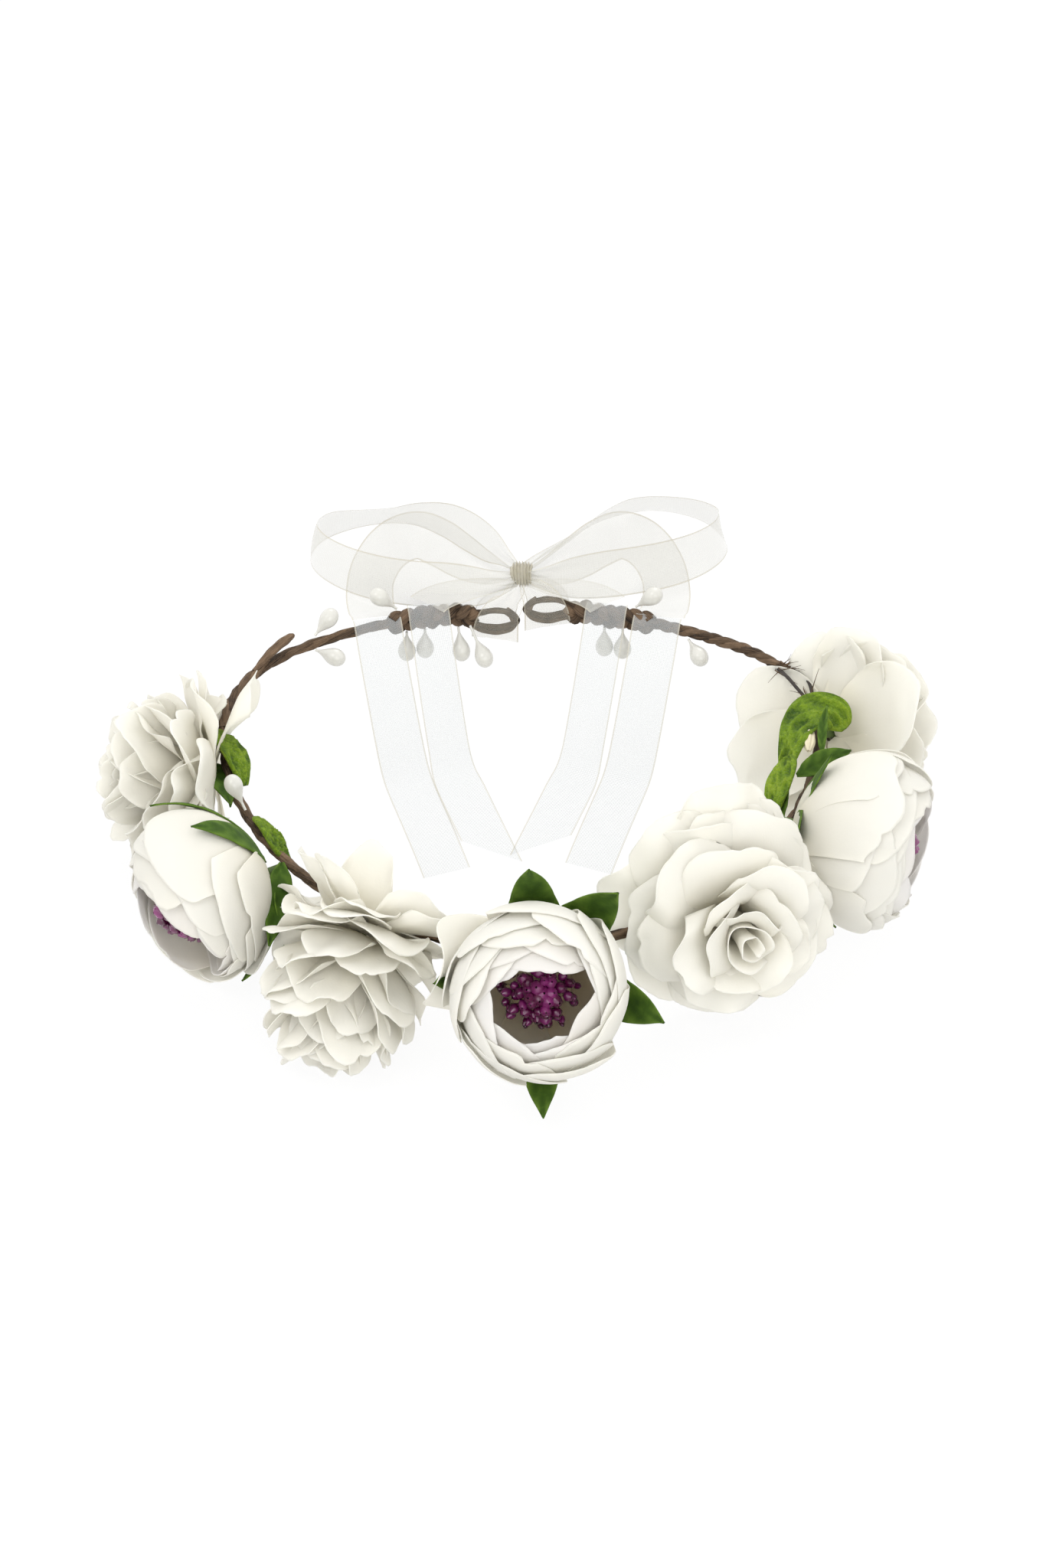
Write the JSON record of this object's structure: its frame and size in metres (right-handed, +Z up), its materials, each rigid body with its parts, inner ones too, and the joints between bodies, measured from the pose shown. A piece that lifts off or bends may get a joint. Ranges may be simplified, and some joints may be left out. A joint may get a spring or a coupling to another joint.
{
  "type": "flower crown",
  "caption": "Head wreath of ivory cloth roses and ranunculus on a brown paper-wound wire vine, tied at the back with a sheer organza bow",
  "frame": {"origin": "centre of the head opening, in the plane of the wire vine", "axes": "+Z up out of the head opening, +Y to the tied back, +X to the right seen from the front"},
  "size_m": [0.2447, 0.2478, 0.0652],
  "materials": {
    "petal_cloth": "ivory stiffened petal cloth",
    "inner_petal_cloth": "cool white stiffened petal cloth",
    "stamen_lacquer": "glossy purple stamen beads",
    "leaf_cloth": "dark green leaf cloth",
    "stem_wire": "green taped stem wire",
    "felt": "lime green wool felt",
    "vine_paper": "brown twisted paper",
    "steel_wire": "dark annealed wire",
    "berry_gloss": "pearl white berries",
    "bud_cream": "cream ridged bud",
    "organza": "sheer ivory organza ribbon"
  },
  "bodies": {
    "crown": {"berries": "berry_gloss", "braid_left": "vine_paper", "braid_right": "vine_paper", "end_loop_left": "vine_paper", "end_loop_right": "vine_paper", "felt_pad_left_lower": "felt", "felt_pad_left_upper": "felt", "felt_pad_right_lower": "felt", "felt_pad_right_upper": "felt", "frame_wire": "steel_wire", "paper_wrap_front": "vine_paper", "paper_wrap_left": "vine_paper", "paper_wrap_right": "vine_paper", "ranunculus_front_inner_petals": "inner_petal_cloth", "ranunculus_front_leaves": "leaf_cloth", "ranunculus_front_middle_petals": "petal_cloth", "ranunculus_front_outer_petals": "petal_cloth", "ranunculus_front_stamens": "stamen_lacquer", "ranunculus_front_stem": "stem_wire", "ranunculus_left_inner_petals": "inner_petal_cloth", "ranunculus_left_leaves": "leaf_cloth", "ranunculus_left_middle_petals": "petal_cloth", "ranunculus_left_outer_petals": "petal_cloth", "ranunculus_left_stamens": "stamen_lacquer", "ranunculus_left_stem": "stem_wire", "ranunculus_right_inner_petals": "inner_petal_cloth", "ranunculus_right_leaves": "leaf_cloth", "ranunculus_right_middle_petals": "petal_cloth", "ranunculus_right_outer_petals": "petal_cloth", "ranunculus_right_stamens": "stamen_lacquer", "ranunculus_right_stem": "stem_wire", "ribbon_band_left": "organza", "ribbon_band_right": "organza", "rose_front_left_inner_petals": "petal_cloth", "rose_front_left_middle_petals": "petal_cloth", "rose_front_left_outer_petals": "petal_cloth", "rose_front_left_stem": "stem_wire", "rose_front_right_inner_petals": "petal_cloth", "rose_front_right_middle_petals": "petal_cloth", "rose_front_right_outer_petals": "petal_cloth", "rose_front_right_stem": "stem_wire", "rose_left_back_inner_petals": "petal_cloth", "rose_left_back_middle_petals": "petal_cloth", "rose_left_back_outer_petals": "petal_cloth", "rose_left_back_stem": "stem_wire", "rose_right_back_inner_petals": "petal_cloth", "rose_right_back_middle_petals": "petal_cloth", "rose_right_back_outer_petals": "petal_cloth", "rose_right_back_stem": "stem_wire", "white_bud": "bud_cream"},
    "bow": {"ribbon_knot": "organza", "ribbon_loop_left": "organza", "ribbon_loop_right": "organza", "ribbon_ear_left": "organza", "ribbon_ear_right": "organza"},
    "tail_left_outer": {"ribbon_tail_left_outer": "organza"},
    "tail_left_inner": {"ribbon_tail_left_inner": "organza"},
    "tail_right_inner": {"ribbon_tail_right_inner": "organza"},
    "tail_right_outer": {"ribbon_tail_right_outer": "organza"}
  },
  "joints": [
    {"name": "bow_tilt", "type": "hinge", "parent": "crown", "child": "bow", "pos_m": [0, 0.06, 0.004], "axis": [1, 0, 0], "range_deg": [-25, 40]},
    {"name": "tail_left_outer_lift", "type": "hinge", "parent": "crown", "child": "tail_left_outer", "pos_m": [-0.0445, 0.05198, 0], "axis": [-0.9703, -0.2419, 0], "range_deg": [-25, 50]},
    {"name": "tail_left_inner_lift", "type": "hinge", "parent": "crown", "child": "tail_left_inner", "pos_m": [-0.029, 0.05666, 0], "axis": [-0.9781, -0.2079, 0], "range_deg": [-25, 50]},
    {"name": "tail_right_inner_lift", "type": "hinge", "parent": "crown", "child": "tail_right_inner", "pos_m": [0.0265, 0.05722, 0], "axis": [-0.9681, 0.2504, 0], "range_deg": [-25, 50]},
    {"name": "tail_right_outer_lift", "type": "hinge", "parent": "crown", "child": "tail_right_outer", "pos_m": [0.042, 0.05288, 0], "axis": [-0.9703, 0.2419, 0], "range_deg": [-25, 50]}
  ]
}
